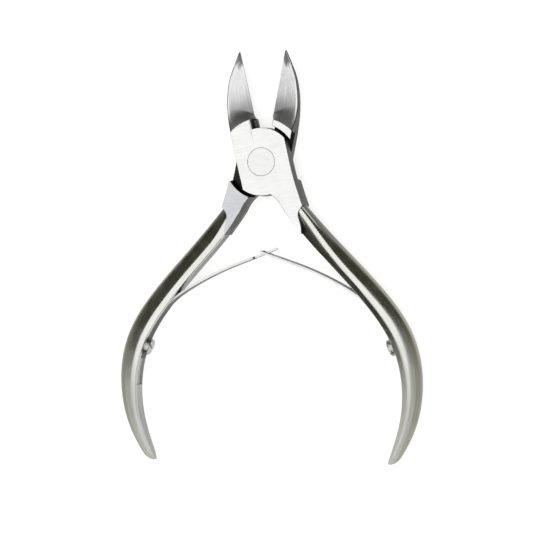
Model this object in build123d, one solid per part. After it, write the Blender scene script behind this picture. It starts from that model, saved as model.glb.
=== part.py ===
"""Plier-type nail clipper: two lap-jointed levers, a flush rivet, a stop peg and a pair of leaf springs.

Frame: the tool lies flat. +Z is up along the pivot, +Y runs towards the jaw tips, +X towards the front
lever's handle. The origin is on the pivot axis, in the resting face. Millimetres, jaws fully open.

Each lever is drawn closed, with its cutting edge on the Y axis and its middle plane at z = 0, as the front
lever: jaw on the left, lap plate on top, handle on the right. The back lever is the same lever turned over
about the Y axis, and so are its spring and screw.
"""

from build123d import *
import os
from math import radians, tan

# Joint
joint_thickness = 7.4
lap_gap = 0.1                 # between the two lap plates
lap_radius = 9.75             # round ends of each lap plate
shoulder_radius = 10.7        # where the other lever's full thickness starts
boss_radius = 12.6            # where the flat joint ends and the jaw's hollow grind starts
plate_inner_x = 7.2           # plate edge on the jaw's side of the pivot
plate_outer_x = 8.3           # plate edge on the handle's side of the pivot
open_angle = 12.0             # each lever, from jaws closed to the rest pose

# Jaw
jaw_length = 32.6             # pivot to tip
jaw_width = 7.4
edge_land = 0.15              # half thickness of the cutting edge
wedge_angle = 16.0            # each face, from the middle plane
blade_back = 1.9              # half thickness of the jaw's back where the hollow grind ends
tip_back = 0.75               # half thickness of the jaw's back at the tip
grind_end = 21.0              # pivot to the end of the hollow grind
grind_sag = 0.45              # hollow of the grind below its chord
heel_relief = 1.2             # closing line to the back lever's heel
edge_start = 13.6             # pivot to the heel end of the cutting edge
heel_slope = 0.9              # length of the slope from heel to cutting edge
jaw_back = [(0.04, 1.0), (0.37, 0.89), (0.86, 0.65), (1.0, 0.45)]    # shares of width and length, from the tip
root_start = 5.85             # how far up from the pivot the jaw's root begins, inside the plate

# Handle: its inner face runs through handle_face, and its D-shaped sections stand on that face
handle_face = [(3.6, -15.5), (7.4, -23.5), (13.8, -34.4), (20.3, -46.0), (25.2, -58.5), (25.9, -68.0),
               (23.1, -80.0), (16.2, -92.0)]
handle_set_back = 0.1         # each broad side of the handle, below the flat joint
handle_thickness = 6.2
handle_corner = 0.8           # rounding of the inner face's long edges
handle_sections = [           # place along the face, share of thickness, share of depth
    (0.0, 0.86, 1.0), (0.06, 0.92, 1.0), (0.25, 0.97, 1.0), (0.45, 1.04, 1.0), (0.6, 1.03, 1.0),
    (0.75, 0.88, 0.98), (0.88, 0.68, 0.88), (0.96, 0.48, 0.66), (1.0, 0.24, 0.3)]
flank_fullness = 0.62         # 0.55 is an ellipse, 1 a square
neck_top = 0.6                # where the hollow corner between plate and handle leaves the plate
neck_fillet = (2.3, -12.0)    # middle of that corner
neck_overlap = 0.02           # how far the corner starts inside the plate's round end
neck_side = [(8.3, -4.0), (8.7, -10.0)]    # outer side of the neck, from the plate to the scallop
neck_proud = 0.15             # neck's inner side beyond the handle's inner face
neck_inset = 0.7              # flat's edge inside the handle's inner face
neck_step = 0.02              # place along the face where the neck's inner side stops
neck_end = 0.13               # place along the face where the flat has narrowed away
scallop = [(9.4, -15.0), (7.5, -16.9), (7.4, -20.0)]    # edge of the flat, from the outer side

# Pivot rivet and stop peg
rivet_radius = 2.6
rivet_head_radius = 4.05
rivet_head_height = 1.4
rivet_rim = 0.12              # chamfer round the visible end
rivet_clearance = 0.05        # radial, where the back lever turns on it
peg_seat = 0.5                # closing line to the front lever's heel, where the peg sits
peg_gap = 0.1                 # left between the peg and the back lever's heel when closed
peg_height = 2.7
peg_depth = 3.8
peg_round = 0.5
peg_shank_radius = 0.8
peg_shank_length = 2.6
peg_lap_clearance = 0.2

# Leaf springs: the strip lies in a groove of the handle's inner face, then bends away from it
strip_width = 4.0
strip_thickness = 0.6
strip_leaves = 0.432          # place along the face where the strip leaves the handle
strip_line = [(0.0, -26.6), (10.8, -30.5), (22.6, -36.1)]   # free strip from the crossing, jaws open
crossing_slope = 21.0         # of each strip at the crossing, from the X axis
screw_place = 0.59
foot_end = 0.635
groove_start = 0.36           # above where the strip leaves, so that it can flex
groove_end = 0.73
groove_clearance = 0.15
lift_length = 5.5             # from where the strip leaves the handle to its flexing point
flex_gap = 0.25               # between the foot's strip and the leaf's, at the flexing point
slotted_reach = 1.6           # slotted strip's end beyond the crossing
slot_width = 2.3
slot_bar = 0.6                # closed end of the slot
slot_length = 5.4
tongue_reach = 3.7            # tongue's end beyond the crossing
tongue_width = 1.5
tongue_length = 7.0

# Spring screws
screw_head_radius = 2.45
screw_head_height = 1.5
screw_head_round = 0.35
screw_radius = 1.0
screw_length = 3.4
screw_slot_width = 0.6
screw_slot_depth = 0.6
screw_clearance = 0.2         # radial, in the strip
seat_clearance = 0.15         # radial, round the head in its flat seat

half = joint_thickness / 2
lap = lap_gap / 2
blade_end = jaw_length + 2.0


def slab(outline, low=-half, high=half):
    """A flat outline made solid between two heights."""
    return Pos(0, 0, low) * extrude(outline, high - low)


def side(low, high):
    """Everything within the joint between two x places, as a flat outline."""
    return Pos((low + high) / 2, 0) * Rectangle(high - low, 2 * boss_radius)


def beside(face_point, along):
    """Plane across the handle's face: x points into the handle, y is the pivot's direction."""
    return Plane(origin=face_point, x_dir=(-along.Y, along.X, 0), z_dir=along)


def face_spot(face, place, depth):
    """Point at a place along the handle's face and a depth into the handle."""
    return (beside(face @ place, face % place) * Pos(depth, 0)).position


# ---- lever --------------------------------------------------------------------------------------------

def jaw_outline(heel):
    """The closed jaw from above: straight cutting edge on the Y axis, curved back."""
    root = (-plate_inner_x, root_start)
    back = Spline(*[(-jaw_width * across, jaw_length * along) for across, along in jaw_back], root)
    edge = Polyline(
        back @ 1, (-heel, root_start), (-heel, edge_start - heel_slope), (0, edge_start),
        (0, jaw_length), back @ 0)
    return make_face(back + edge)


def jaw(heel):
    """Jaw ground hollow outside the boss, and to a wedge along the cutting edge."""
    chord_middle = ((boss_radius + grind_end) / 2, (half + blade_back) / 2 - grind_sag)
    hollow = ThreePointArc((boss_radius, half), chord_middle, (grind_end, blade_back))
    ground = Polyline(
        (grind_end, blade_back), (blade_end, tip_back), (blade_end, -half), (0, -half), (0, half),
        (boss_radius, half))
    turned = revolve(Plane.XZ * make_face(hollow + ground), Axis.Z)
    run_out = Cone(boss_radius + 2 * half, boss_radius, 2 * half)
    back_height = edge_land + 2 * jaw_width * tan(radians(wedge_angle))
    wedge_section = Plane.XZ * make_face(Polyline(
        (0, -half), (0, edge_land), (-2 * jaw_width, back_height), (-2 * jaw_width, -half), (0, -half)))
    wedge = extrude(wedge_section, -blade_end)
    upper = turned & (run_out + wedge)
    return slab(jaw_outline(heel)) & upper & mirror(upper, Plane.XY)


def head_outline(heel, face):
    """Lap plate, jaw root and flat neck from above, with the scallop where the handle turns round."""
    plate = Circle(lap_radius) & side(-plate_inner_x, plate_outer_x)
    root = Circle(boss_radius) & side(-plate_inner_x, -heel) & Pos(0, boss_radius) * Rectangle(
        2 * boss_radius, 2 * boss_radius)
    inner = Spline((neck_top, neck_overlap - lap_radius), neck_fillet, face_spot(face, neck_step, -neck_proud))
    middle = face_spot(face, (neck_step + neck_end) / 2, neck_inset)
    inset = Spline(face_spot(face, neck_step, neck_inset), middle, face_spot(face, neck_end, neck_inset))
    step = Line(inner @ 1, inset @ 0)
    flat_edge = Spline(*scallop, inset @ 1)
    outer = Spline(*neck_side, scallop[0])
    close = Polyline(outer @ 0, (0, 0), inner @ 0)
    neck = make_face(inner + step + inset + flat_edge + outer + close)
    return plate + root + neck


def handle_section(place, thickness, depth, path):
    """D-shaped section: flat inner face, rounded long edges, full rounded outer side."""
    corner = handle_corner * thickness / handle_thickness
    reach = corner + flank_fullness * (thickness - corner)
    face_line = Line((0, -depth + corner), (0, depth - corner))
    upper_corner = RadiusArc((0, depth - corner), (corner, depth), corner)
    lower_corner = RadiusArc((corner, -depth), (0, -depth + corner), corner)
    upper = Bezier((corner, depth), (reach, depth), (thickness, flank_fullness * depth), (thickness, 0))
    lower = Bezier((thickness, 0), (thickness, -flank_fullness * depth), (reach, -depth), (corner, -depth))
    section = make_face(face_line + upper_corner + upper + lower + lower_corner)
    return beside(path @ place, path % place) * section


def handle(path):
    sections = [
        handle_section(place, handle_thickness * across, (half - handle_set_back) * deep, path)
        for place, across, deep in handle_sections]
    return loft(sections)


def strip(path, width, low=0.0, high=strip_thickness):
    """A strip of the given width along a path, between two depths on the handle's side of it."""
    section = Pos((low + high) / 2, 0) * Rectangle(high - low, width)
    return sweep(beside(path @ 0, path % 0) * section, path=path)


def screw_plane(path):
    """Plane on the handle's face at the screw, with z pointing out of the face."""
    across = beside(path @ screw_place, path % screw_place)
    return Plane(origin=across.origin, x_dir=(0, 0, 1), z_dir=-across.x_dir)


def upright(radius, low, high):
    return Pos(0, 0, low) * Cylinder(radius, high - low, align=(Align.CENTER, Align.CENTER, Align.MIN))


def rivet_form(extra=0.0):
    """The rivet, or with extra the room it turns in: a shank with a countersunk head at both faces."""
    shank, rim = rivet_radius + extra, rivet_head_radius + extra
    profile = Polyline(
        (0, -half), (rim, -half), (shank, rivet_head_height - half), (shank, half - rivet_head_height),
        (rim, half), (0, half), (0, -half))
    return revolve(Plane.XZ * make_face(profile), Axis.Z)


def lever(heel, rivet_room, face):
    """Front lever, closed. heel is how far its heel stands back from the closing line."""
    body = slab(head_outline(heel, face)) - upright(shoulder_radius, -half, lap)
    root_recess = upright(shoulder_radius, -half, lap)
    body += jaw(heel) - root_recess
    body += handle(face)
    groove = strip(
        face.trim(groove_start, groove_end), strip_width + 2 * groove_clearance, -handle_corner)
    body -= groove
    seat = screw_plane(face)
    body -= seat * upright(screw_head_radius + seat_clearance, 0, screw_head_height)
    body -= seat * upright(screw_radius, -strip_thickness - screw_length, 0)
    return body - rivet_form(rivet_room)


# ---- spring and screw ---------------------------------------------------------------------------------

def spring_path(face):
    """The strip's free line, from its crossing point down to where it lies on the handle."""
    points = [Vector(*point).rotate(Axis.Z, -open_angle) for point in strip_line]
    slope = Vector(1, 0).rotate(Axis.Z, -crossing_slope - open_angle)
    return Spline(*points, face @ strip_leaves, tangents=[slope, face % strip_leaves])


def spring_foot(face):
    free = spring_path(face)
    lifted = free.trim(1 - lift_length / free.length, 1)
    foot = strip(face.trim(strip_leaves, foot_end), strip_width) + strip(lifted, strip_width)
    seat = screw_plane(face)
    foot -= seat * upright(screw_head_radius + seat_clearance, 0, screw_head_height)
    return foot - seat * upright(screw_radius + screw_clearance, -2 * strip_thickness, strip_thickness)


def flexing_point(face):
    free = spring_path(face)
    return free @ (1 - lift_length / free.length)


def spring_leaf(face, reach, tongue):
    """The free strip: one ends in a narrow tongue, the other in a closed slot that the tongue goes through."""
    free = spring_path(face)
    past = free @ 0 - (free % 0) * reach
    line = Line(past, free @ 0)
    leaf_end = 1 - (lift_length + flex_gap) / free.length
    if tongue:
        full_start = (tongue_length - reach) / free.length
        narrow = strip(line, tongue_width) + strip(free.trim(0, full_start), tongue_width)
        return narrow + strip(free.trim(full_start, leaf_end), strip_width)
    leaf = strip(line, strip_width) + strip(free.trim(0, leaf_end), strip_width)
    slot_line = Line(past + (free % 0) * slot_bar, free @ 0)
    slot_rest = free.trim(0, (slot_length + slot_bar - reach) / free.length)
    leaf -= strip(slot_line, slot_width, -strip_thickness, 2 * strip_thickness)
    return leaf - strip(slot_rest, slot_width, -strip_thickness, 2 * strip_thickness)


def spring_screw(face):
    head = upright(screw_head_radius, 0, screw_head_height)
    head = fillet(head.edges().group_by(Axis.Z)[-1], screw_head_round)
    slot = Pos(0, 0, screw_head_height) * Box(3 * screw_head_radius, screw_slot_width, 2 * screw_slot_depth)
    screw = head - slot + upright(screw_radius, -strip_thickness - screw_length, 0)
    return screw_plane(face) * screw


# ---- rivet and peg ------------------------------------------------------------------------------------

def pivot_rivet():
    rivet = rivet_form()
    ends = rivet.edges().filter_by(GeomType.CIRCLE).group_by(SortBy.RADIUS)[-1]
    return chamfer(ends, rivet_rim)


def peg_middle():
    return lap_radius + peg_lap_clearance + peg_height / 2


def peg_shank():
    shank = Rot(0, -90, 0) * upright(peg_shank_radius, 0, peg_shank_length)
    return Pos(-peg_seat, peg_middle(), 0) * shank


def stop_peg():
    reach = peg_seat + heel_relief - peg_gap
    block = Pos(reach / 2 - peg_seat, peg_middle(), 0) * Box(reach, peg_height, peg_depth)
    outer = block.edges().group_by(Axis.X)[-1] + block.edges().filter_by(Axis.Z).group_by(Axis.X)[-1]
    return fillet(outer, peg_round) + peg_shank()


# ---- place and write ----------------------------------------------------------------------------------

def front(piece):
    """From the closed drawing to its place in the open tool."""
    return Pos(0, 0, half) * Rot(0, 0, open_angle) * piece


def back(piece):
    """The same, turned over for the back lever's side."""
    return Pos(0, 0, half) * Rot(0, 180, 0) * Rot(0, 0, open_angle) * piece


def build():
    face = Spline(*handle_face)
    return {
        "front_lever": front(lever(peg_seat, 0.0, face) - peg_shank()),
        "back_lever": back(lever(heel_relief, rivet_clearance, face)),
        "pivot_rivet": front(pivot_rivet()),
        "stop_peg": front(stop_peg()),
        "right_spring_foot": front(spring_foot(face)),
        "right_spring_leaf": front(spring_leaf(face, slotted_reach, tongue=False)),
        "left_spring_foot": back(spring_foot(face)),
        "left_spring_leaf": back(spring_leaf(face, tongue_reach, tongue=True)),
        "right_spring_screw": front(spring_screw(face)),
        "left_spring_screw": back(spring_screw(face)),
    }


os.makedirs("parts", exist_ok=True)
for name, piece in build().items():
    export_step(piece, f"parts/{name}.step")
flex = front(Pos(*flexing_point(Spline(*handle_face))) * Sphere(0.1)).center()
print("right flexing point", flex)
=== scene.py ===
from math import radians

import bmesh
import bpy
import numpy as np
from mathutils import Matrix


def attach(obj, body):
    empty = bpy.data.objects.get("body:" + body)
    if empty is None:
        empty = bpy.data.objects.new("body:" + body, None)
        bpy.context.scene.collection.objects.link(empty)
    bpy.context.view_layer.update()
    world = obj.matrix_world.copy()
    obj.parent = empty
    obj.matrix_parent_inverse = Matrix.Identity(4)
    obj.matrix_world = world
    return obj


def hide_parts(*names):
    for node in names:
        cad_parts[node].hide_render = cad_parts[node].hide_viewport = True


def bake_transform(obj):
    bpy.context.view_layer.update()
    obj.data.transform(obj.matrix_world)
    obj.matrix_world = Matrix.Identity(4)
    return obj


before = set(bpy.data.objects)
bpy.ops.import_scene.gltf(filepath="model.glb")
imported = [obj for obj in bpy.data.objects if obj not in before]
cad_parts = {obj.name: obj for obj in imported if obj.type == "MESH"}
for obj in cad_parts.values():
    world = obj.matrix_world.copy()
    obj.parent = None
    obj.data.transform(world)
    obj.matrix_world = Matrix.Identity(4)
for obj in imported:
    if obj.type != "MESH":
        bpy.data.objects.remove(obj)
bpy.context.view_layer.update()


# ---- Levers --------------------------------------------------------------------------------------------
# Each lever is one stainless forging: cutting jaw, half-thick lap plate and long bowed handle. The dies
# leave a parting line round its sides. The joint is ground flat, the jaw's root hollow, and the handle is
# satin polished lengthwise. Both are drawn closed, in millimetres, and the back one is the same turned over.

half_thick = 3.7
lap_face = 0.05               # half the gap between the two plates
open_angle = radians(12)      # each lever's share of the opening
edge_break = 0.13             # small chamfer round the flat faces
border = 3 * edge_break       # level strip that begins each flat face, so that it shades flat
die_draft = 0.16              # how far the sides stand out at the parting line

face_line = [(3.6, -15.5), (7.4, -23.5), (13.8, -34.4), (20.3, -46.0), (25.2, -58.5), (25.9, -68.0),
             (23.1, -80.0), (16.2, -92.0)]
handle_sizes = [              # place along the face, thickness, half depth
    (0.0, 5.3, 3.6), (0.06, 5.7, 3.6), (0.25, 6.0, 3.6), (0.45, 6.45, 3.6), (0.6, 6.4, 3.6),
    (0.75, 5.45, 3.53), (0.88, 4.2, 3.17), (0.96, 3.0, 2.4), (1.0, 2.2, 1.7)]
plate_side_at_neck = [        # shares of thickness and half depth, from the inner edge to the parting line
    (0.0, 0.42), (0.05, 0.50), (0.28, 0.70), (0.58, 0.91), (0.76, 0.96), (0.87, 0.84), (0.95, 0.58),
    (0.99, 0.3), (1.0, 0.0)]
plate_side_along = [
    (0.0, 0.64), (0.04, 0.71), (0.19, 0.88), (0.32, 0.98), (0.46, 0.995), (0.64, 0.83), (0.85, 0.54),
    (0.97, 0.28), (1.0, 0.0)]
far_side_at_neck = [
    (0.0, 0.93), (0.03, 0.99), (0.2, 1.0), (0.4, 0.985), (0.54, 0.90), (0.73, 0.71), (0.9, 0.47),
    (0.97, 0.25), (1.0, 0.0)]
far_side_along = [
    (0.0, 0.93), (0.03, 0.99), (0.15, 1.0), (0.26, 0.985), (0.4, 0.89), (0.64, 0.69), (0.86, 0.46),
    (0.97, 0.25), (1.0, 0.0)]
neck_blends = (0.3, 0.16)     # places by which the plate side and the far side have the handle's own form
end_from, end_run = 0.965, 0.0352   # place where the end starts to close as an ellipse, and its length
end_part = 0.015              # last share of the handle, whose sections crowd towards the end
groove_places = (0.36, 0.73)
groove_half_width = 2.15
groove_share = 0.6            # of the half depth, which a thin handle's groove never passes
groove_depth = 0.6

boss_radius = 12.6
shoulder_radius = 10.7
lap_radius = 9.75
plate_inner, plate_outer = -7.2, 8.3
hole_radius = 4.10
neck_inner = [(0.6, -9.73), (2.3, -12.0), (3.55, -15.5)]
neck_outer = [(8.3, -4.0), (8.65, -10.0), (9.2, -15.0)]
scallop = [(9.2, -15.0), (7.4, -16.9), (7.3, -20.0)]
flat_ends = 0.096             # place along the face where the neck's flat has narrowed away
flat_overhang = 0.05          # how far the flat reaches past the handle's inner face
corner_limit = 0.8            # least squared length that a mitred corner is worked out with
fading_length = 8.0           # distance over which a chamfer dies away at the neck's narrow end
under_edge = (0.05, 0.06)     # how far the plate's lower edge is rounded in, and up
block_overlap = 0.02          # how far the blocks reach past the lap face, into the plate
wall_grain = 0.7              # share of a wall's height that counts as length across its grain
front_heel, back_heel = 0.5, 1.2   # how far the levers' heels are cut back from the closing line

jaw_back = [                  # distance from the pivot, and how far the back stands from the closing line
    (11.86, 7.1), (15.31, 7.4), (18.98, 7.1), (22.55, 6.15), (26.84, 4.25), (29.13, 2.75), (32.6, 0.3)]
jaw_starts, jaw_ends = 12.2, jaw_back[-1][0]
root_ends, root_gap = 14.2, 0.05   # where the jaw's close rows end, and the step to the next one
column_power = 0.9            # below one, which sets the columns closer towards the back
edge_start = 13.6             # distance from the pivot at which the cutting edge begins
heel_slope = 0.9              # length over which the heel comes out to it
edge_half = 0.15              # half of the cutting edge's thickness
wedge_slope = 0.20
land = 0.5                    # narrow level strip along the top of the jaw's back
back_break = 0.24             # width of the sloped edge between that strip and the wall
break_share = 0.4             # of a thin part's size, which no broken edge passes
hollow_run = (1.5, 5.6)       # the hollow's length at the cutting edge, and what the back adds
hollow_width, hollow_power = 7.4, 0.8   # distance from the edge that adds it all, and how it grows
brim_drop = 0.01              # how far the hollow's rim stays under the root's chamfer
buried_drop = 0.1             # and how much lower still the rows inside the root are
jaw_draft = 0.7 * die_draft   # the jaw's wall stands out less
tip_high, tip_starts = 0.35, 26.0   # share of the wedge's rise left at the tip, and where it thins from


def spline_weights(knots, places):
    """Natural cubic spline as a table, a row per place and a weight per knot: table @ points is the curve.

    Between knots the curve is a cubic, its slope and bend match at each knot, and its ends don't bend.
    """
    gap = np.diff(knots)
    inner = np.arange(1, len(knots) - 1)
    stiff = np.eye(len(knots))
    stiff[inner, inner - 1] = gap[:-1]
    stiff[inner, inner] = 2 * (gap[:-1] + gap[1:])
    stiff[inner, inner + 1] = gap[1:]
    pull = np.zeros_like(stiff)
    pull[inner, inner - 1] = 6 / gap[:-1]
    pull[inner, inner + 1] = 6 / gap[1:]
    pull[inner, inner] = -6 / gap[:-1] - 6 / gap[1:]
    bend = np.linalg.solve(stiff, pull)
    left = np.clip(np.searchsorted(knots, places, "right") - 1, 0, len(knots) - 2)
    width = gap[left][:, None]
    after = (np.asarray(places)[:, None] - knots[left][:, None]) / width
    before = 1 - after
    pick = np.eye(len(knots))
    curved = (before**3 - before) * bend[left] + (after**3 - after) * bend[left + 1]
    return before * pick[left] + after * pick[left + 1] + width**2 / 6 * curved


def curve_through(points, places):
    """Points of the smooth curve through points, at shares of its length measured chord by chord."""
    points = np.asarray(points, float)
    steps = np.linalg.norm(np.diff(points, axis=0), axis=1)
    knots = np.concatenate([[0.0], np.cumsum(steps)]) / steps.sum()
    return spline_weights(knots, places) @ points


def along_table(table, places):
    """The smooth curve through a table whose first column is the place, read at places."""
    table = np.asarray(table, float)
    return spline_weights(table[:, 0], places) @ table[:, 1:]


def line_frame(points, places):
    """Spot on the curve, its direction, and the square direction on the handle's side, at each place."""
    step = 1e-4
    spot = curve_through(points, places)
    ahead = curve_through(points, places + step) - curve_through(points, places - step)
    ahead /= np.linalg.norm(ahead, axis=1)[:, None]
    return spot, ahead, np.stack([-ahead[:, 1], ahead[:, 0]], 1)


def eased(share):
    """A share from 0 to 1, held at both ends, with level ends."""
    share = np.clip(share, 0, 1)
    return share * share * (3 - 2 * share)


def running_length(points):
    """Length along a row of points up to each of them."""
    return np.concatenate([[0.0], np.cumsum(np.linalg.norm(np.diff(points, axis=0), axis=1))])


def handle_skin():
    """The handle as sections carried along its inner face.

    A section is the flat inner face with the spring's groove sunk in it, then a curve over the plate side
    to the parting line, and back over the far side. The two curves are smooth through shares of the
    thickness and half depth, which change from the neck's to the handle's own over the first stretch.
    """
    first, last = groove_places
    place = np.concatenate([
        np.linspace(0, first, 70), np.linspace(first, last, 70), np.linspace(last, 1 - end_part, 50),
        1 - end_part * np.linspace(0.95, 0, 12)**2])
    sunk = np.repeat([0.0, groove_depth, 0.0], [70, 70, 62])[:, None]
    thickness, depth = along_table(handle_sizes, place).T[:, :, None]
    closing = np.sqrt(1 - np.clip((place - end_from) / end_run, 0, 1)**2)[:, None]
    thickness, depth = thickness * closing, depth * closing
    smooth = spline_weights(np.linspace(0, 1, len(far_side_along)), np.linspace(0, 1, 26))
    sides = []
    for at_neck, along, blended in ((plate_side_at_neck, plate_side_along, neck_blends[0]),
                                    (far_side_at_neck, far_side_along, neck_blends[1])):
        change = eased(place / blended)[:, None, None]
        sides.append(smooth @ ((1 - change) * np.array(at_neck) + change * np.array(along)))
    plate_side, far_side = sides
    wall = np.minimum(groove_half_width, groove_share * depth)
    level = np.zeros_like(wall)
    face_in = np.concatenate([sunk, sunk, sunk, level], 1)
    face_up = np.concatenate([level, wall / 2, wall, wall], 1)
    lower_in, lower_up = face_in[:, ::-1], -face_up[:, ::-1]
    inward = np.concatenate([face_in, plate_side[:, :, 0] * thickness, far_side[:, -2::-1, 0] * thickness,
                             lower_in[:, :-1]], 1)
    up = np.concatenate([face_up, plate_side[:, :, 1] * depth, -far_side[:, -2::-1, 1] * depth,
                         lower_up[:, :-1]], 1)
    spot, _, across = line_frame(face_line, place)
    flat = spot[:, None] + across[:, None] * inward[:, :, None]
    points = np.concatenate([flat, up[:, :, None]], 2)
    middle = len(place) // 3
    loop = np.concatenate([points[middle], points[middle, :1]])
    grain = np.stack(np.broadcast_arrays(running_length(spot)[:, None], running_length(loop)[None]), 2)
    return points, grain


def jaw_skin(heel):
    """The jaw as arcs about the pivot, from inside the boss out to the tip.

    Each arc's upper face is a wedge that rises from the cutting edge to a level strip along the back, and
    that thins towards the tip. Beside the boss a hollow climbs from the wedge to the boss's chamfer, as the
    square of the share left of its run, which is longest at the back. The back is a wall with a parting
    line, and the lower face mirrors the upper one.
    """
    root = np.linspace(jaw_starts, root_ends, 26)
    blade = np.linspace(root_ends + root_gap, jaw_ends, 80)
    reach = np.concatenate([root, blade])[:, None]
    spine = -along_table(jaw_back, reach[:, 0])
    edge = -heel * np.clip((edge_start - reach) / heel_slope, 0, 1)
    share = np.linspace(0, 1, 44)[None]**column_power
    inset = np.minimum(back_break, break_share * (edge - spine))
    side = edge + share * (spine + inset - edge)
    thinner = 1 - (1 - tip_high) * eased((reach - tip_starts) / (jaw_ends - tip_starts))
    wedge = edge_half + wedge_slope * np.minimum(-side, -spine - inset - land) * thinner
    run = hollow_run[0] + hollow_run[1] * np.abs(side / hollow_width)**hollow_power
    left = 1 - np.clip((reach - boss_radius) / run, 0, 1)
    brim = half_thick - edge_break - brim_drop
    top = np.where(reach < boss_radius, brim - buried_drop, wedge + (brim - wedge) * left**2)
    chamfer = np.minimum(edge_break, break_share * top[:, -1:])
    wall_side = np.concatenate([spine, spine - jaw_draft, spine], 1)
    wall_up = np.concatenate([top[:, -1:] - chamfer, 0 * spine, chamfer - top[:, -1:]], 1)
    x = np.concatenate([side, wall_side, side[:, ::-1]], 1)
    z = np.concatenate([top, wall_up, -top[:, ::-1]], 1)
    y = np.sqrt(np.maximum(reach**2 - x**2, 0))
    points = np.stack([x, y, z], 2)
    loop = np.concatenate([points[30], points[30, :1]])
    grain = np.stack(np.broadcast_arrays(reach, running_length(loop)[None]), 2)
    return points, grain


def arc(radius, start, end, count):
    """Points of a circle about the pivot, between two angles."""
    angle = np.linspace(start, end, count)
    return radius * np.stack([np.cos(angle), np.sin(angle)], 1)


def head_outline(heel):
    """Plate, jaw root and neck flat from above: circles cut by straight sides, and the neck's curves."""
    step = np.linspace(0, 1, 30)
    right_corner = np.array([plate_outer, np.sqrt(lap_radius**2 - plate_outer**2)])
    outer = curve_through([right_corner, (plate_outer, 0.0), *neck_outer], step)
    face, _, across = line_frame(face_line, np.linspace(flat_ends, 0.0, 20))
    face = face - flat_overhang * across
    outer_end = curve_through([*scallop, face[0]], step)
    inner = curve_through(neck_inner, step[::-1])
    low_arc = arc(lap_radius, np.arctan2(*neck_inner[0][::-1]), -np.arccos(plate_inner / lap_radius), 30)
    boss = arc(boss_radius, np.arccos(plate_inner / boss_radius), np.arccos(-heel / boss_radius), 24)
    top_arc = arc(lap_radius, np.arccos(-heel / lap_radius), np.arctan2(*right_corner[::-1]), 30)
    share = np.linspace(0, 1, 26)[:-1, None]
    left = low_arc[-1] + share * (boss[0] - low_arc[-1])
    heel_side = boss[-1] + share[::3] * (top_arc[0] - boss[-1])
    return np.concatenate([outer[:-1], outer_end[:-1], face[:-1], inner[:-1], low_arc[:-1], left, boss[:-1],
                           heel_side, top_arc[:-1]])


def pushed_out(outline, distance):
    """A closed clockwise outline moved outwards by a distance, square to its own run, with mitred corners.

    The move dies away at the lowest point, where the neck's flat narrows to a sharp end.
    """
    step = np.roll(outline, -1, 0) - outline
    step /= np.linalg.norm(step, axis=1)[:, None]
    ahead = step + np.roll(step, 1, 0)
    ahead *= 2 / np.maximum((ahead**2).sum(1), corner_limit)[:, None]
    tip = outline[np.argmin(outline[:, 1])]
    share = eased(np.linalg.norm(outline - tip, axis=1) / fading_length)[:, None]
    return outline + distance * share * np.stack([-ahead[:, 1], ahead[:, 0]], 1)


def at_height(outline, height):
    """A flat outline's points with one height for all of them."""
    return np.concatenate([outline, np.full((len(outline), 1), float(height))], 1)


def flat_grain(points):
    """Grain of a flat ground part runs across the joint, so it is the drawing's own x and y.

    A part of the height is added to both, so that the marks don't smear down the walls.
    """
    closed = np.concatenate([points, points[:, :1]], 1)
    return closed[:, :, :2] + closed[:, :, 2:] * wall_grain


def plate_skin(heel):
    """The half-thick plate as rings: rivet hole, under edge, parting line, broken upper edge, rivet hole.

    The hole's points lie on the rays to the outline's, except that the heel's side goes to one point far
    enough round for the flat face not to fold over itself, and the points never turn back.
    """
    outline = head_outline(heel)
    angle = np.unwrap(np.arctan2(outline[:, 1], outline[:, 0]))
    turns = np.round((angle - np.arctan2(outline[:, 1], outline[:, 0])) / (2 * np.pi))
    beside = np.isclose(outline[:, 0], -heel) & (outline[:, 1] > 0)
    clear = np.arccos(-(heel + border + edge_break) / hole_radius)
    angle[beside] = clear + 2 * np.pi * turns[beside]
    angle = np.maximum.accumulate(angle[::-1])[::-1]
    hole = hole_radius * np.stack([np.cos(angle), np.sin(angle)], 1)
    points = np.stack([
        at_height(hole, lap_face),
        at_height(pushed_out(outline, die_draft - under_edge[0]), lap_face),
        at_height(pushed_out(outline, die_draft), lap_face + under_edge[1]),
        at_height(outline, half_thick - edge_break),
        at_height(pushed_out(outline, -edge_break), half_thick),
        at_height(pushed_out(outline, -border), half_thick),
        at_height(hole, half_thick)])
    return points, flat_grain(points)


def block_skin(outline):
    """The far half of neck or jaw root, from the parting line to the broken edge of its flat face."""
    points = np.stack([
        at_height(outline, lap_face + block_overlap),
        at_height(pushed_out(outline, die_draft), lap_face - block_overlap),
        at_height(outline, edge_break - half_thick),
        at_height(pushed_out(outline, -edge_break), -half_thick),
        at_height(pushed_out(outline, -border), -half_thick)])
    return points, flat_grain(points)


def neck_block():
    """The head's outline below the shoulder, closed along the shoulder's arc."""
    outline = head_outline(front_heel)
    past_shoulder = np.linalg.norm(outline, axis=1) > shoulder_radius + edge_break
    outline = outline[past_shoulder & (outline[:, 1] < 0)]
    angles = np.arctan2(outline[[-1, 0], 1], outline[[-1, 0], 0])
    return np.concatenate([outline, arc(shoulder_radius, *angles, 24)])


def root_block(heel):
    """The ring sector between the shoulder and the boss, beside the closing line."""
    at_heel, at_side = np.arccos(np.array([[-heel], [plate_inner]]) / [shoulder_radius, boss_radius])
    return np.concatenate([arc(shoulder_radius, at_heel[0], at_side[0], 20),
                           arc(boss_radius, at_side[1], at_heel[1], 20)])


def front(points):
    """From the closed drawing, in millimetres, to the front lever's place in the open tool, in metres."""
    turn = np.array([[np.cos(open_angle), np.sin(open_angle), 0],
                     [-np.sin(open_angle), np.cos(open_angle), 0], [0, 0, 1]])
    return (points @ turn + [0, 0, half_thick]) / 1000


def back(points):
    """The same, turned over about the long axis for the back lever's side."""
    return front(points) * [-1, 1, -1] + [0, 0, 2 * half_thick / 1000]


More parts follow.
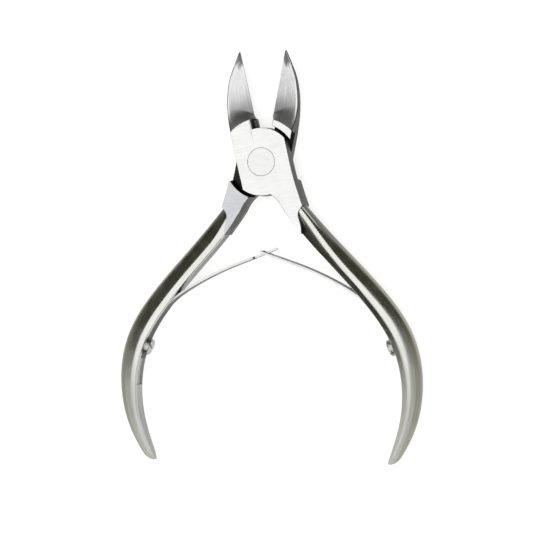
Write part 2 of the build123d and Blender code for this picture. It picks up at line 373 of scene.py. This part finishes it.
def skin_mesh(name, skins, place, looped=(), sharp=32):
    """One mesh from closed skins, each a grid of points whose columns run round it.

    Neighbouring points make four-sided faces. A looped skin also joins its last row to its first, and any
    other is capped at both ends. The grain map gets each corner's place along and round the skin. A skin
    has one finish, or one for each strip between its rows or columns. Edges sharper than the angle stay
    crisp, and level faces are shaded flat.
    """
    weld, level = 2e-7, 0.99999
    vertices, faces, maps, finish, count = [], [], [], [], 0
    for index, (points, grain, number) in enumerate(skins):
        rows, columns = points.shape[:2]
        i = np.arange(rows if index in looped else rows - 1)[:, None]
        j = np.arange(columns)[None]
        below, beside = (i + 1) % rows, (j + 1) % columns
        quads = np.stack(np.broadcast_arrays(i * columns + j, below * columns + j, below * columns + beside,
                                             i * columns + beside), 2).reshape(-1, 4)
        corners = np.stack([grain[i, j], grain[below, j], grain[below, j + 1], grain[i, j + 1]], 2)
        ends = [] if index in looped else [np.arange(columns), np.arange(columns) + (rows - 1) * columns]
        faces += (quads + count).tolist() + [(end + count).tolist() for end in ends]
        maps += [corners.reshape(-1, 2)] + [grain[row, :-1] for row in (0, -1)][:len(ends)]
        finish += np.broadcast_to(number, np.broadcast_shapes(i.shape, j.shape)).ravel().tolist()
        finish += [finish[-1]] * len(ends)
        vertices.append(place(points.reshape(-1, 3)))
        count += rows * columns
    mesh = bpy.data.meshes.new(name)
    mesh.from_pydata(np.concatenate(vertices), [], faces)
    layer = mesh.uv_layers.new(name="grain")
    layer.uv.foreach_set("vector", np.concatenate(maps).astype(np.float32).ravel())
    mesh.polygons.foreach_set("material_index", np.array(finish, np.int32))
    work = bmesh.new()
    work.from_mesh(mesh)
    bmesh.ops.remove_doubles(work, verts=work.verts, dist=weld)
    bmesh.ops.recalc_face_normals(work, faces=work.faces)
    work.to_mesh(mesh)
    work.free()
    mesh.set_sharp_from_angle(angle=radians(sharp))
    tilt = np.empty(3 * len(mesh.polygons), np.float32)
    mesh.polygons.foreach_get("normal", tilt)
    mesh.polygons.foreach_set("use_smooth", np.abs(tilt[2::3]) < level)
    piece = bpy.data.objects.new(name, mesh)
    bpy.context.scene.collection.objects.link(piece)
    return piece


def brushed_group():
    """Brush marks: noise drawn out along the grain map's first axis, and slow clouds in the polish."""
    group = bpy.data.node_groups.new("brush_marks", "ShaderNodeTree")
    sockets = group.interface
    sockets.new_socket("Grain", in_out="INPUT", socket_type="NodeSocketVector")
    for label, value in (("Fineness", 3.0), ("Run", 0.04), ("Cloud size", 0.25)):
        sockets.new_socket(label, in_out="INPUT", socket_type="NodeSocketFloat").default_value = value
    for label in ("Marks", "Clouds", "Height"):
        sockets.new_socket(label, in_out="OUTPUT", socket_type="NodeSocketFloat")
    nodes, link = group.nodes, group.links.new
    given, out = nodes.new("NodeGroupInput"), nodes.new("NodeGroupOutput")
    run = nodes.new("ShaderNodeCombineXYZ")
    run.inputs["Y"].default_value = 1.0
    drawn = nodes.new("ShaderNodeVectorMath")
    drawn.operation = "MULTIPLY"
    fine = nodes.new("ShaderNodeTexNoise")
    fine.inputs["Detail"].default_value = 4.0
    fine.inputs["Roughness"].default_value = 0.7
    cloud = nodes.new("ShaderNodeTexNoise")
    cloud.inputs["Detail"].default_value = 3.0
    marks, clouds = nodes.new("ShaderNodeMapRange"), nodes.new("ShaderNodeMapRange")
    for ranged, low, high in ((marks, 0.3, 0.7), (clouds, 0.35, 0.65)):
        ranged.inputs["From Min"].default_value = low
        ranged.inputs["From Max"].default_value = high
    link(given.outputs["Run"], run.inputs["X"])
    link(given.outputs["Grain"], drawn.inputs[0])
    link(run.outputs["Vector"], drawn.inputs[1])
    link(drawn.outputs["Vector"], fine.inputs["Vector"])
    link(given.outputs["Fineness"], fine.inputs["Scale"])
    link(given.outputs["Grain"], cloud.inputs["Vector"])
    link(given.outputs["Cloud size"], cloud.inputs["Scale"])
    link(fine.outputs["Fac"], marks.inputs["Value"])
    link(cloud.outputs["Fac"], clouds.inputs["Value"])
    link(marks.outputs["Result"], out.inputs["Marks"])
    link(clouds.outputs["Result"], out.inputs["Clouds"])
    link(fine.outputs["Fac"], out.inputs["Height"])
    return group


def scratch_group():
    """Handling marks: thin crossing scratches where two drawn-out noises peak, and smudges from fingers."""
    group = bpy.data.node_groups.new("handling_marks", "ShaderNodeTree")
    sockets = group.interface
    sockets.new_socket("Place", in_out="INPUT", socket_type="NodeSocketVector")
    sockets.new_socket("Amount", in_out="INPUT", socket_type="NodeSocketFloat").default_value = 1.0
    for label in ("Scratches", "Smudges"):
        sockets.new_socket(label, in_out="OUTPUT", socket_type="NodeSocketFloat")
    nodes, link = group.nodes, group.links.new
    given, out = nodes.new("NodeGroupInput"), nodes.new("NodeGroupOutput")
    joined = nodes.new("ShaderNodeMath")
    joined.operation = "MAXIMUM"
    for number, angle in enumerate((0.5, 2.2)):
        turn = nodes.new("ShaderNodeMapping")
        turn.inputs["Rotation"].default_value = (0.1, 0.2, angle)
        turn.inputs["Scale"].default_value = (60.0, 2600.0, 200.0)
        noise = nodes.new("ShaderNodeTexNoise")
        noise.inputs["Scale"].default_value = 1.0
        noise.inputs["Detail"].default_value = 1.0
        peak = nodes.new("ShaderNodeMapRange")
        peak.inputs["From Min"].default_value = 0.7
        peak.inputs["From Max"].default_value = 0.78
        link(given.outputs["Place"], turn.inputs["Vector"])
        link(turn.outputs["Vector"], noise.inputs["Vector"])
        link(noise.outputs["Fac"], peak.inputs["Value"])
        link(peak.outputs["Result"], joined.inputs[number])
    amount = nodes.new("ShaderNodeMath")
    amount.operation = "MULTIPLY"
    smudge = nodes.new("ShaderNodeTexNoise")
    smudge.inputs["Scale"].default_value = 130.0
    smudge.inputs["Detail"].default_value = 6.0
    soft = nodes.new("ShaderNodeMapRange")
    soft.inputs["From Min"].default_value = 0.42
    soft.inputs["From Max"].default_value = 0.72
    link(joined.outputs["Value"], amount.inputs[0])
    link(given.outputs["Amount"], amount.inputs[1])
    link(given.outputs["Place"], smudge.inputs["Vector"])
    link(smudge.outputs["Fac"], soft.inputs["Value"])
    link(amount.outputs["Value"], out.inputs["Scratches"])
    link(soft.outputs["Result"], out.inputs["Smudges"])
    return group


brush_marks = brushed_group()
handling_marks = scratch_group()
handling = 0.6                # how much of the scratches these steels show
smudge_share = 0.25           # of the roughness range, which a smudge adds
scratch_depth = 0.5           # beside the brush marks' full height
cloud_shift = 1.6             # millimetres by which the clouds move a tone


def steel(name, dark, light, rough, fineness, run, relief, painted_tones=(), duller=(), edge=1.0):
    """Brushed stainless: the marks move its colour between two values and raise a fine relief.

    The clouds move its roughness between two values, and smudges add to it. Painted tones are places along
    the grain map, in millimetres, and the painted light and shade that scales the colour there; the clouds
    shift them a little, so that they have no hard line. Duller lists steps in the roughness: the grain map's
    axis, the places where the step starts and ends, and how much it adds. Edge is how much a grazing view
    mirrors.
    """
    material = bpy.data.materials.new(name)
    material.use_nodes = True
    nodes, link = material.node_tree.nodes, material.node_tree.links.new
    shader = nodes["Principled BSDF"]
    shader.inputs["Metallic"].default_value = 1.0
    shader.inputs["Specular Tint"].default_value = (edge, edge, edge, 1)
    place = nodes.new("ShaderNodeTexCoord")
    grain = nodes.new("ShaderNodeUVMap")
    grain.uv_map = "grain"
    marks = nodes.new("ShaderNodeGroup")
    marks.node_tree = brush_marks
    marks.inputs["Fineness"].default_value = fineness
    marks.inputs["Run"].default_value = run
    handled = nodes.new("ShaderNodeGroup")
    handled.node_tree = handling_marks
    handled.inputs["Amount"].default_value = handling
    colour = nodes.new("ShaderNodeMix")
    colour.data_type = "RGBA"
    colour.inputs["A"].default_value = (*dark, 1)
    colour.inputs["B"].default_value = (*light, 1)
    dulled = nodes.new("ShaderNodeMath")
    dulled.operation = "MULTIPLY_ADD"
    dulled.inputs[1].default_value = smudge_share
    roughness = nodes.new("ShaderNodeMapRange")
    roughness.inputs["To Min"].default_value = rough[0]
    roughness.inputs["To Max"].default_value = rough[1]
    cut = nodes.new("ShaderNodeMath")
    cut.operation = "MULTIPLY_ADD"
    cut.inputs[1].default_value = -scratch_depth
    bump = nodes.new("ShaderNodeBump")
    bump.inputs["Strength"].default_value = 1.0
    bump.inputs["Distance"].default_value = relief
    link(grain.outputs["UV"], marks.inputs["Grain"])
    link(place.outputs["Object"], handled.inputs["Place"])
    link(marks.outputs["Marks"], colour.inputs["Factor"])
    link(handled.outputs["Smudges"], dulled.inputs[0])
    link(marks.outputs["Clouds"], dulled.inputs[2])
    link(dulled.outputs["Value"], roughness.inputs["Value"])
    link(handled.outputs["Scratches"], cut.inputs[0])
    link(marks.outputs["Height"], cut.inputs[2])
    link(cut.outputs["Value"], bump.inputs["Height"])
    # Painted light and shade along the grain map, multiplied into the colour.
    if painted_tones:
        split = nodes.new("ShaderNodeSeparateXYZ")
        shifted = nodes.new("ShaderNodeMath")
        shifted.operation = "MULTIPLY_ADD"
        shifted.inputs[1].default_value = cloud_shift
        share = nodes.new("ShaderNodeMapRange")
        share.inputs["From Min"].default_value = painted_tones[0][0]
        share.inputs["From Max"].default_value = painted_tones[-1][0]
        ramp = nodes.new("ShaderNodeValToRGB")
        span = painted_tones[-1][0] - painted_tones[0][0]
        points = ramp.color_ramp.elements
        for spot, tone in painted_tones[1:-1]:
            points.new((spot - painted_tones[0][0]) / span).color = (tone, tone, tone, 1)
        for point, (_, tone) in ((points[0], painted_tones[0]), (points[-1], painted_tones[-1])):
            point.color = (tone, tone, tone, 1)
        toned = nodes.new("ShaderNodeMix")
        toned.data_type, toned.blend_type = "RGBA", "MULTIPLY"
        toned.inputs["Factor"].default_value = 1.0
        link(grain.outputs["UV"], split.inputs["Vector"])
        link(marks.outputs["Clouds"], shifted.inputs[0])
        link(split.outputs["X"], shifted.inputs[2])
        link(shifted.outputs["Value"], share.inputs["Value"])
        link(share.outputs["Result"], ramp.inputs["Fac"])
        link(colour.outputs["Result"], toned.inputs["A"])
        link(ramp.outputs["Color"], toned.inputs["B"])
        colour = toned
    rougher = roughness.outputs["Result"]
    for axis, start, end, added in duller:
        axes = nodes.new("ShaderNodeSeparateXYZ")
        step = nodes.new("ShaderNodeMapRange")
        step.interpolation_type = "SMOOTHSTEP"
        step.inputs["From Min"].default_value = start
        step.inputs["From Max"].default_value = end
        step.inputs["To Max"].default_value = added
        summed = nodes.new("ShaderNodeMath")
        link(grain.outputs["UV"], axes.inputs["Vector"])
        link(axes.outputs[axis], step.inputs["Value"])
        link(step.outputs["Result"], summed.inputs[0])
        link(rougher, summed.inputs[1])
        rougher = summed.outputs["Value"]
    link(colour.outputs["Result"], shader.inputs["Base Color"])
    link(rougher, shader.inputs["Roughness"])
    link(bump.outputs["Normal"], shader.inputs["Normal"])
    return material


worn_end = (("X", 38.0, 73.0, 0.56), )   # the palm has dulled the handle's lower half
# Its painted tones add a painted highlight towards the handle's end.
satin_steel = steel(
    "satin_steel", (0.42, 0.42, 0.405), (0.55, 0.55, 0.535), (0.14, 0.21), 2.2, 0.035, 0.00001,
    painted_tones=((0.0, 0.98), (50.0, 1.0), (84.0, 1.55)), duller=worn_end)
joint_steel = steel(
    "joint_steel", (0.50, 0.50, 0.50), (0.59, 0.59, 0.59), (0.24, 0.33), 2.6, 0.08, 0.000012)
# Its painted tones are painted shade on the jaw: dark in the root's hollow, and darkest towards the tip.
ground_steel = steel(
    "ground_steel", (0.36, 0.36, 0.36), (0.60, 0.61, 0.62), (0.20, 0.32), 4.0, 0.03, 0.00002,
    painted_tones=((12.6, 0.75), (15.5, 0.5), (18.0, 0.55), (20.5, 0.74), (23.5, 0.97), (28.8, 1.0), (30.3, 0.24),
           (33.5, 0.14)),
    duller=(("X", 21.0, 14.0, 0.25), ))
# Near-black steel on the side walls of plates, blocks and jaws: painted shade standing in for the dark
# reflections there.
flank_steel = steel(
    "flank_steel", (0.07, 0.07, 0.067), (0.13, 0.13, 0.125), (0.30, 0.42), 1.8, 0.2, 0.00002, edge=0.7)
lapped_steel = steel(
    "lapped_steel", (0.36, 0.37, 0.39), (0.44, 0.45, 0.47), (0.28, 0.38), 2.6, 0.08, 0.000012)
# Near-black steel: painted shadow on the lap faces, in the rivet hole and on the shoulder's arc, where the
# levers shade each other.
painted_shadow_steel = steel(
    "painted_shadow_steel", (0.010, 0.010, 0.009), (0.025, 0.025, 0.022), (0.35, 0.5), 1.2, 0.6, 0.00001,
    edge=0.4)
# Dark olive steel on the handle's outer rim is a painted reflection of the dark surroundings; its painted
# tones are painted shade near the neck and painted light towards the end.
rim_steel = steel(
    "rim_steel", (0.24, 0.24, 0.20), (0.34, 0.34, 0.29), (0.24, 0.32), 2.2, 0.035, 0.00001,
    painted_tones=((0.0, 0.3), (9.0, 0.45), (25.0, 1.0), (46.0, 1.15), (66.0, 1.7), (84.0, 2.3)), duller=worn_end)
# Its painted tones are painted shade on the handle's inner face near the neck, growing lighter towards the
# end.
inner_steel = steel(
    "inner_steel", (0.34, 0.34, 0.34), (0.46, 0.46, 0.45), (0.18, 0.26), 2.2, 0.035, 0.00001,
    painted_tones=((0.0, 0.15), (10.0, 0.25), (22.0, 0.5), (42.0, 1.1), (84.0, 1.35)), duller=worn_end, edge=0.85)
finishes = (
    satin_steel, joint_steel, ground_steel, flank_steel, lapped_steel, painted_shadow_steel, rim_steel, inner_steel)
satin, joint, ground, flank, lapped, painted_shadow, rim, inner = range(len(finishes))
# The finishes follow the plate's rows, and the columns round the jaw and the handle.
# Painted shadow on the plate's lap face and in its rivet hole, painted shade on its lower walls.
plate_finish = np.array([painted_shadow, flank, flank, joint, joint, joint, painted_shadow])[:, None]
# Painted shade on the jaw's back wall and on its cutting edge's face.
jaw_finish = np.repeat([ground, joint, flank, joint, ground, flank], [40, 3, 4, 3, 40, 1])[None]
handle_finish = np.repeat([inner, satin, rim, satin, inner], [4, 17, 17, 17, 3])[None]


def block_finish(outline, flat_face):
    """Painted shade on the flanks round the sides, painted shadow in near-black steel round the shoulder's
    arc, and the flat face's own finish.
    """
    near = 0.02
    finish = np.full((4, len(outline)), flank)
    finish[2:] = flat_face
    shoulder = np.abs(np.linalg.norm(outline, axis=1) - shoulder_radius) < near
    finish[:2, shoulder] = painted_shadow
    return finish


for name, place, heel in (("front_lever", front, front_heel), ("back_lever", back, back_heel)):
    neck, root = neck_block(), root_block(heel)
    skins = [(*plate_skin(heel), plate_finish),
             (*handle_skin(), handle_finish),
             (*jaw_skin(heel), jaw_finish),
             (*block_skin(neck), block_finish(neck, lapped)),
             (*block_skin(root), block_finish(root, joint))]
    lever = skin_mesh(name + "_forging", skins, place, looped=(0,))
    for finish in finishes:
        lever.data.materials.append(finish)
    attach(lever, name)
    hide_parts(name)


# ---- Pivot rivet ---------------------------------------------------------------------------------------
# The levers turn on one stainless rivet. Both of its ends are spread into countersinks and ground flush
# with the plates, so all that shows is a thin ring round each head.

rivet_head, rivet_shank = 4.06, 2.6
rivet_end = 3.69              # height of its ground ends, a hair under the plates' faces
rivet_break = 0.08            # chamfer round them
sink_foot = 2.3               # height at which the countersinks run out into the shank
half_profile = np.array([     # radius and height, from the shank to the upper end's middle
    (rivet_shank, sink_foot), (rivet_head, rivet_end - rivet_break), (rivet_head - rivet_break, rivet_end),
    (0.0, rivet_end)])


def rivet_skin():
    """The profile and its mirror below, turned about the pivot's axis; the grain runs across the ends."""
    profile = np.concatenate([half_profile[::-1] * [1, -1], half_profile])
    angle = np.linspace(0, 2 * np.pi, 96, endpoint=False)
    radius, height = profile.T[:, :, None]
    points = np.stack(np.broadcast_arrays(radius * np.cos(angle), radius * np.sin(angle), height), 2)
    return points, flat_grain(points)


rivet = skin_mesh("rivet_turned", [(*rivet_skin(), 0)], front)
rivet.data.materials.append(steel(
    "rivet_steel", (0.48, 0.48, 0.48), (0.57, 0.57, 0.57), (0.24, 0.33), 2.6, 0.08, 0.000012))
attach(rivet, "front_lever")
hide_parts("pivot_rivet")


# ---- Stop peg ------------------------------------------------------------------------------------------
# A small hardened peg sits in the front lever's heel and meets the back lever's heel, so that the edges
# only just touch when the handles are squeezed. Its near-black colour is painted shade, and its corners are
# rounded.

peg_centre = (0.1, 11.35)
peg_half = (0.6, 1.4, 1.2)
peg_squareness = 6.0


def peg_skin():
    """A rounded block: each share of its half sizes, to the power of the squareness, adds up to one."""
    slope = np.linspace(-np.pi / 2, np.pi / 2, 41)[:, None]
    angle = np.linspace(0, 2 * np.pi, 64, endpoint=False)[None]
    ray = np.stack(np.broadcast_arrays(np.cos(slope) * np.cos(angle), np.cos(slope) * np.sin(angle),
                                       np.sin(slope)), 2)
    size = (np.abs(ray)**peg_squareness).sum(2, keepdims=True)**(-1 / peg_squareness)
    points = ray * size * peg_half + [*peg_centre, 0.0]
    return points, flat_grain(points)


peg = skin_mesh("stop_peg_shaded", [(*peg_skin(), 0)], front)
# Near-black steel: painted shade on the peg.
peg.data.materials.append(steel(
    "peg_steel", (0.05, 0.052, 0.05), (0.12, 0.12, 0.115), (0.34, 0.5), 2.0, 0.5, 0.00004))
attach(peg, "front_lever")
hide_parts("stop_peg")


# ---- Leaf springs --------------------------------------------------------------------------------------
# Two strips of spring steel lie in the handles' grooves under a screw each, bend away from the handles,
# and cross in the middle, where the left strip's narrow tongue slides through a slot in the right one. Each
# is one strip, running from its handle's groove out to its free leaf.

strip_thick = 0.6
strip_half_width = 2.0
strip_leaves, strip_ends = 0.432, 0.635
strip_line = [(0.0, -26.6), (10.8, -30.5), (22.6, -36.1)]
crossing_slope = radians(21)
slotted_reach, tongue_reach = 1.6, 3.7
slot_half_width, slot_from, slot_long = 1.15, 0.6, 5.4
tongue_half_width, tongue_long, tongue_taper = 0.75, 7.0, 0.35
end_margin = 2e-4             # keeps the direction's small step on the curve at its ends


def strip_sheet(reach, tongue):
    """Middle surface of a strip: its line carried through the width, with rows along it and lines across.

    The line is smooth through the end beyond the crossing, the free run, and the handle's face, half a
    thickness in from its inner side. A tongue narrows the width; a slot leaves faces out.
    """
    turn = np.array([[np.cos(open_angle), -np.sin(open_angle)], [np.sin(open_angle), np.cos(open_angle)]])
    ahead = np.array([np.cos(crossing_slope), -np.sin(crossing_slope)]) @ turn
    free = np.array(strip_line) @ turn
    on_face, _, _ = line_frame(face_line, np.linspace(strip_leaves, strip_ends, 7))
    line = np.concatenate([[free[0] - reach * ahead, free[0] - reach / 2 * ahead], free, on_face])
    place = np.linspace(0, 1, 700)
    long = running_length(curve_through(line, place))
    stops = np.array([slot_from, slot_from + slot_long])
    if tongue:
        stops = np.array([tongue_long, tongue_long + tongue_taper])
    wanted = np.sort(np.concatenate([np.linspace(0, long[-1], 150), stops]))
    place = np.interp(wanted, long, place)
    spot, _, across = line_frame(line, np.clip(place, end_margin, 1 - end_margin))
    middle = spot + across * strip_thick / 2
    lines = np.array([[-strip_half_width, -slot_half_width, 0.0, slot_half_width, strip_half_width]])
    if tongue:
        narrowed = tongue_half_width / strip_half_width
        lines = lines * (narrowed + (1 - narrowed) * eased((wanted - tongue_long) / tongue_taper))[:, None]
    lines = np.broadcast_to(lines, (len(wanted), lines.shape[1]))
    points = np.stack([*np.broadcast_arrays(middle[:, None, 0], middle[:, None, 1], lines)], 2)
    grain = np.stack([*np.broadcast_arrays(wanted[:, None], lines)], 2)
    kept = np.ones((len(wanted) - 1, 4), bool)
    if not tongue:
        centre = (wanted[1:] + wanted[:-1]) / 2
        kept[:, 1:3] = ((centre < stops[0]) | (centre > stops[1]))[:, None]
    return points, grain, kept


def strip_piece(name, place, reach, tongue):
    """One strip as a sheet given its thickness."""
    points, grain, kept = strip_sheet(reach, tongue)
    rows, columns = points.shape[:2]
    i, j = np.nonzero(kept)
    first = i * columns + j
    quads = np.stack([first, first + columns, first + columns + 1, first + 1], 1)
    mesh = bpy.data.meshes.new(name)
    mesh.from_pydata(place(points.reshape(-1, 3)), [], quads.tolist())
    layer = mesh.uv_layers.new(name="grain")
    layer.uv.foreach_set("vector", grain.reshape(-1, 2)[quads.ravel()].astype(np.float32).ravel())
    mesh.shade_smooth()
    piece = bpy.data.objects.new(name, mesh)
    bpy.context.scene.collection.objects.link(piece)
    thick = piece.modifiers.new("thickness", "SOLIDIFY")
    thick.thickness = strip_thick / 1000
    thick.offset = 0.0
    thick.material_offset_rim = 1
    edges = piece.modifiers.new("edges", "BEVEL")
    edges.width = 0.00007
    edges.segments = 2
    edges.limit_method = "ANGLE"
    edges.angle_limit = radians(50)
    edges.harden_normals = True
    piece.data.materials.append(spring_steel)
    piece.data.materials.append(spring_edge_steel)
    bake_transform(piece)
    return piece


spring_steel = steel(
    "spring_steel", (0.10, 0.10, 0.10), (0.20, 0.20, 0.20), (0.2, 0.3), 3.0, 0.05, 0.00001, edge=0.5)
spring_edge_steel = steel(
    "spring_edge_steel", (0.40, 0.40, 0.40), (0.56, 0.56, 0.56), (0.2, 0.3), 3.0, 0.05, 0.00001)
right_spring = strip_piece(
    "right_spring_strip", front, slotted_reach, False)
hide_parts("right_spring_foot", "right_spring_leaf")
left_spring = strip_piece(
    "left_spring_strip", back, tongue_reach, True)
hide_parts("left_spring_foot", "left_spring_leaf")


# ---- Spring screws -------------------------------------------------------------------------------------
# A slotted cheese-head screw clamps each strip in its groove. The heads are turned from bar, with a small
# rounded rim and a sawn slot.

screw_place = 0.59
head_radius, head_high, head_round = 2.45, 1.5, 0.35
head_sunk = 0.02              # how far the head's foot reaches into the strip
slot_half, slot_deep = 0.3, 0.6
slot_turn = 0.5               # radians from the strip's width to the slot


def screw_skin():
    """The head as slices across the slot, each a profile up one wall, over the top and down the other.

    The top falls in a quarter circle near the rim, by the distance from the head's axis. Between the slot's
    two sides every slice is held down to the slot's floor.
    """
    beside = head_radius * np.sin(np.linspace(-np.pi / 2, np.pi / 2, 49))
    beside = beside[np.abs(beside) > slot_half]
    lower, upper = beside[beside < 0], beside[beside > 0]
    y = np.concatenate([lower, [-slot_half], np.linspace(-slot_half, slot_half, 4), [slot_half], upper])
    y = y[:, None]
    sunk = np.repeat([False, True, False], [len(lower) + 1, 4, len(upper) + 1])[:, None]
    chord = np.sqrt(np.maximum(head_radius**2 - y**2, 0))
    over = np.sin(np.linspace(-np.pi / 2, np.pi / 2, 41))[None]
    x = chord * over
    past = np.clip(np.hypot(x, y) - (head_radius - head_round), 0, head_round)
    z = head_high - head_round + np.sqrt(head_round**2 - past**2)
    z = np.where(sunk, np.minimum(z, head_high - slot_deep), z)
    foot = np.full_like(chord, -head_sunk)
    x = np.concatenate([-chord, x, chord], 1)
    z = np.concatenate([foot, z, foot], 1)
    points = np.stack(np.broadcast_arrays(x, y, z), 2)
    return points, flat_grain(points)


def screw_place_in(place):
    """Takes the head from its own axes to the handle's inner face at the screw, turned about its axis."""
    spot, ahead, across = (value[0] for value in line_frame(face_line, np.array([screw_place])))

    def placed(points):
        x = points[:, :1] * np.cos(slot_turn) - points[:, 1:2] * np.sin(slot_turn)
        y = points[:, :1] * np.sin(slot_turn) + points[:, 1:2] * np.cos(slot_turn)
        flat = spot + y * ahead - points[:, 2:] * across
        return place(np.concatenate([flat, x], 1))
    return placed


screw_steel = steel("screw_steel", (0.20, 0.20, 0.20), (0.62, 0.62, 0.60), (0.2, 0.4), 2.4, 0.8, 0.0001)
for name, place, body in (
        ("right_spring_screw", front, "front_lever"), ("left_spring_screw", back, "back_lever")):
    screw = skin_mesh(name + "_head", [(*screw_skin(), 0)], screw_place_in(place))
    screw.data.materials.append(screw_steel)
    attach(screw, body)
    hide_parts(name)


# ---- Studio --------------------------------------------------------------------------------------------
# The tool lies on a plain pale floor under one large overhead softbox, with darker surroundings low down,
# so that flat faces show white and rounded flanks show dark bands.

floor_half = 6.0
floor_corners = np.array([(-1, -1, 0), (1, -1, 0), (1, 1, 0), (-1, 1, 0)]) * floor_half
floor_mesh = bpy.data.meshes.new("floor")
floor_mesh.from_pydata(floor_corners, [], [(0, 1, 2, 3)])
floor = bpy.data.objects.new("floor", floor_mesh)
bpy.context.scene.collection.objects.link(floor)
floor_finish = bpy.data.materials.new("pale_floor")
floor_finish.use_nodes = True
floor_shader = floor_finish.node_tree.nodes["Principled BSDF"]
floor_shader.inputs["Base Color"].default_value = (0.4, 0.4, 0.4, 1)
floor_shader.inputs["Roughness"].default_value = 0.7
floor_shader.inputs["Emission Color"].default_value = (1, 1, 1, 1)
floor_shader.inputs["Emission Strength"].default_value = 0.75
floor_mesh.materials.append(floor_finish)

world = bpy.data.worlds.new("studio")
world.use_nodes = True
world.node_tree.nodes["Background"].inputs["Color"].default_value = (0.105, 0.10, 0.065, 1)
world.node_tree.nodes["Background"].inputs["Strength"].default_value = 0.68
bpy.context.scene.world = world

softbox = bpy.data.lights.new("softbox", "AREA")
softbox.shape = "RECTANGLE"
softbox.size, softbox.size_y = 1.18, 0.86
softbox.energy = 5.4
softbox_object = bpy.data.objects.new("softbox", softbox)
softbox_object.location = (-0.02, -0.09, 0.55)
bpy.context.scene.collection.objects.link(softbox_object)

lean, rise, roll = radians(16.8), radians(1.6), radians(-1.0)
aim = np.array([0.001011, -0.03113, 0.0037])
stand_off = 0.5313
away = np.array([np.sin(lean) * np.cos(rise), np.sin(rise), np.cos(lean) * np.cos(rise)])
right = np.cross(-away, [0, 1, 0])
right /= np.linalg.norm(right)
upward = np.cross(right, -away)
right, upward = (right * np.cos(roll) + upward * np.sin(roll), upward * np.cos(roll) - right * np.sin(roll))
camera_data = bpy.data.cameras.new("camera")
camera_data.lens = 122.8
camera_data.clip_start, camera_data.clip_end = 0.01, 20.0
camera = bpy.data.objects.new("camera", camera_data)
camera_place = np.eye(4)
camera_place[:3, 0], camera_place[:3, 1], camera_place[:3, 2], camera_place[:3, 3] = (
    right, upward, away, aim + away * stand_off)
camera.matrix_world = camera_place.T.tolist()
bpy.context.scene.collection.objects.link(camera)
bpy.context.scene.camera = camera
bpy.context.scene.view_settings.view_transform = "Standard"
